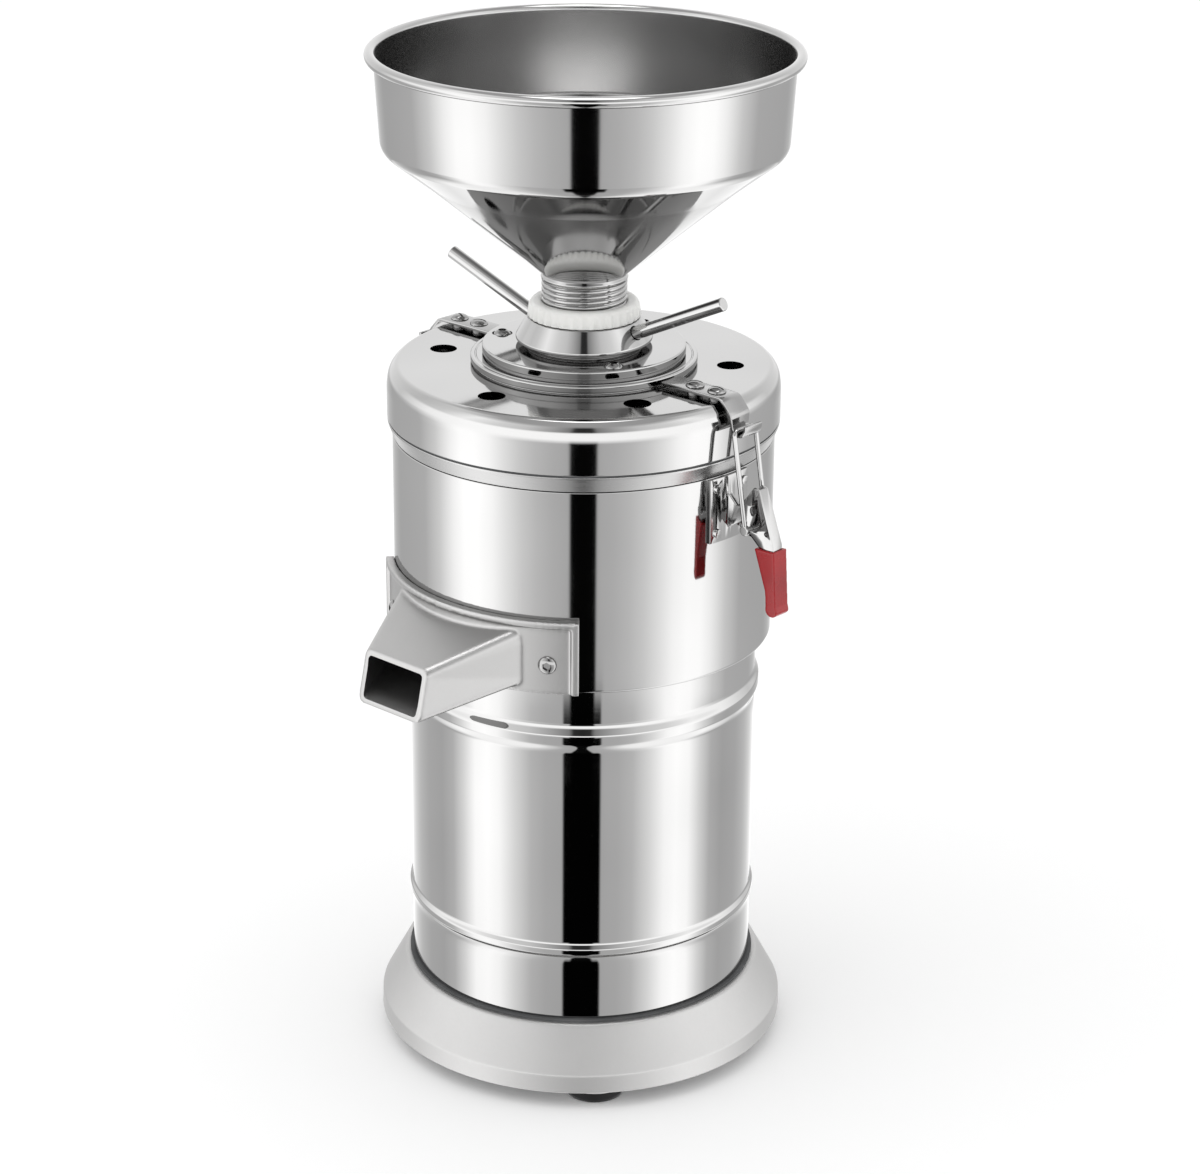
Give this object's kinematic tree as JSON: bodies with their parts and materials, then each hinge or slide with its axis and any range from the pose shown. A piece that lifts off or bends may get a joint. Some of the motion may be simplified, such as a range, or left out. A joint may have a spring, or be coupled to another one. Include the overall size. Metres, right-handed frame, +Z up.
{
  "type": "nut butter grinder",
  "caption": "Upright powered grinder with a funnel hopper, a latched cover, toothed grinding discs with an adjusting collar, and a side spout for the paste.",
  "frame": {"origin": "on the floor below the motor axis, in the plane of the undersides of the feet", "axes": "+Z up along the motor axis, -Y along the spout, +X and -X through the two latches"},
  "size_m": [0.3132, 0.2903, 0.6184],
  "materials": {
    "mirror_steel": "mirror polished stainless sheet",
    "cast_aluminium": "fine satin cast",
    "satin_steel": "turned or brushed",
    "bright_chrome": "polished",
    "zinc_screw": "zinc plated",
    "sheet_steel": "plain sheet and spring wire",
    "black_rubber": "matt",
    "grey_gasket": "matt",
    "white_nylon": "slightly translucent",
    "red_vinyl": "dipped vinyl, soft shine",
    "red_plastic": "gloss",
    "black_plastic": "moulded",
    "disc_iron": "hardened, ground",
    "core_iron": "laminated",
    "copper_wire": "enamelled winding"
  },
  "bodies": {
    "frame": {"base_casting": "cast_aluminium", "bottom_cover": "sheet_steel", "foot_front_right": "black_rubber", "foot_front_left": "black_rubber", "foot_rear_right": "black_rubber", "foot_rear_left": "black_rubber", "foot_screws": "zinc_screw", "barrel_gasket": "grey_gasket", "motor_barrel": "mirror_steel", "switch_bezel": "black_plastic", "switch_pivot": "zinc_screw", "cord_gland": "black_plastic", "motor_lower_bell": "cast_aluminium", "motor_upper_bell": "cast_aluminium", "bearings": "zinc_screw", "stator_core": "core_iron", "stator_windings": "copper_wire", "motor_capacitor": "black_plastic", "motor_bolts": "zinc_screw", "paste_bowl": "cast_aluminium", "shaft_seal": "black_rubber", "drum": "mirror_steel", "spout": "cast_aluminium", "spout_screws": "zinc_screw", "rim_ring": "mirror_steel", "cover_gasket": "grey_gasket", "cover": "mirror_steel", "thrust_plate": "satin_steel", "plate_screws": "zinc_screw", "strap_right": "satin_steel", "strap_left": "satin_steel", "strap_screws": "zinc_screw", "carrier_springs": "sheet_steel", "latch_bracket_right": "satin_steel", "latch_bracket_left": "satin_steel", "latch_pins": "zinc_screw"},
    "rotor": {"motor_shaft": "satin_steel", "rotor_core": "core_iron", "cooling_fan": "black_plastic", "paste_scraper": "satin_steel", "disc_holder": "cast_aluminium", "lower_disc": "disc_iron", "feed_auger": "satin_steel", "auger_nut": "zinc_screw"},
    "carrier": {"burr_carrier": "cast_aluminium", "upper_disc": "disc_iron"},
    "collar": {"adjust_collar": "satin_steel", "rod_right": "bright_chrome", "rod_left": "bright_chrome"},
    "neck": {"neck": "satin_steel"},
    "hopper": {"hopper": "mirror_steel"},
    "lock_nut": {"lock_nut": "white_nylon"},
    "lever_right": {"latch_lever_right": "satin_steel", "grip_right": "red_vinyl"},
    "bail_right": {"bail_right": "bright_chrome"},
    "lever_left": {"latch_lever_left": "satin_steel", "grip_left": "red_vinyl"},
    "bail_left": {"bail_left": "bright_chrome"},
    "rocker": {"switch_rocker": "red_plastic"}
  },
  "joints": [
    {"name": "shaft_spin", "type": "hinge", "parent": "frame", "child": "rotor", "pos_m": [0, 0, 0.2], "axis": [0, 0, 1], "continuous": true},
    {"name": "collar_turn", "type": "hinge", "parent": "frame", "child": "collar", "pos_m": [0, 0, 0.45], "axis": [0, 0, 1], "range_deg": [-75, 75]},
    {"name": "disc_gap", "type": "slide", "parent": "frame", "child": "carrier", "axis": [0, 0, 1], "range_m": [-0.00032, 0.00032], "deforming": ["carrier_springs"]},
    {"name": "neck_lift", "type": "slide", "parent": "carrier", "child": "neck", "axis": [0, 0, 1], "range_m": [0, 0.0241]},
    {"name": "hopper_turn", "type": "hinge", "parent": "neck", "child": "hopper", "pos_m": [0, 0, 0.55], "axis": [0, 0, 1], "range_deg": [0, 4320]},
    {"name": "nut_turn", "type": "hinge", "parent": "neck", "child": "lock_nut", "pos_m": [0, 0, 0.465], "axis": [0, 0, 1], "range_deg": [-180, 180]},
    {"name": "lever_right_turn", "type": "hinge", "parent": "frame", "child": "lever_right", "pos_m": [0.136, 0, 0.373], "axis": [0, -1, 0], "range_deg": [0, 100]},
    {"name": "bail_right_turn", "type": "hinge", "parent": "lever_right", "child": "bail_right", "pos_m": [0.1348, 0, 0.362], "axis": [0, -1, 0], "range_deg": [-88, 0]},
    {"name": "lever_left_turn", "type": "hinge", "parent": "frame", "child": "lever_left", "pos_m": [-0.136, 0, 0.373], "axis": [0, 1, 0], "range_deg": [0, 100]},
    {"name": "bail_left_turn", "type": "hinge", "parent": "lever_left", "child": "bail_left", "pos_m": [-0.1348, 0, 0.362], "axis": [0, 1, 0], "range_deg": [-88, 0]},
    {"name": "rocker_turn", "type": "hinge", "parent": "frame", "child": "rocker", "pos_m": [0, 0.1019, 0.16], "axis": [-1, 0, 0], "range_deg": [0, 12]}
  ],
  "couplings": [
    {"joint": "disc_gap", "follows": "collar_turn", "m_per_rad": -0.00023873},
    {"joint": "neck_lift", "follows": "hopper_turn", "m_per_rad": 0.00031831},
    {"joint": "bail_right_turn", "follows": "lever_right_turn", "ratio": -0.87},
    {"joint": "bail_left_turn", "follows": "lever_left_turn", "ratio": -0.87}
  ]
}
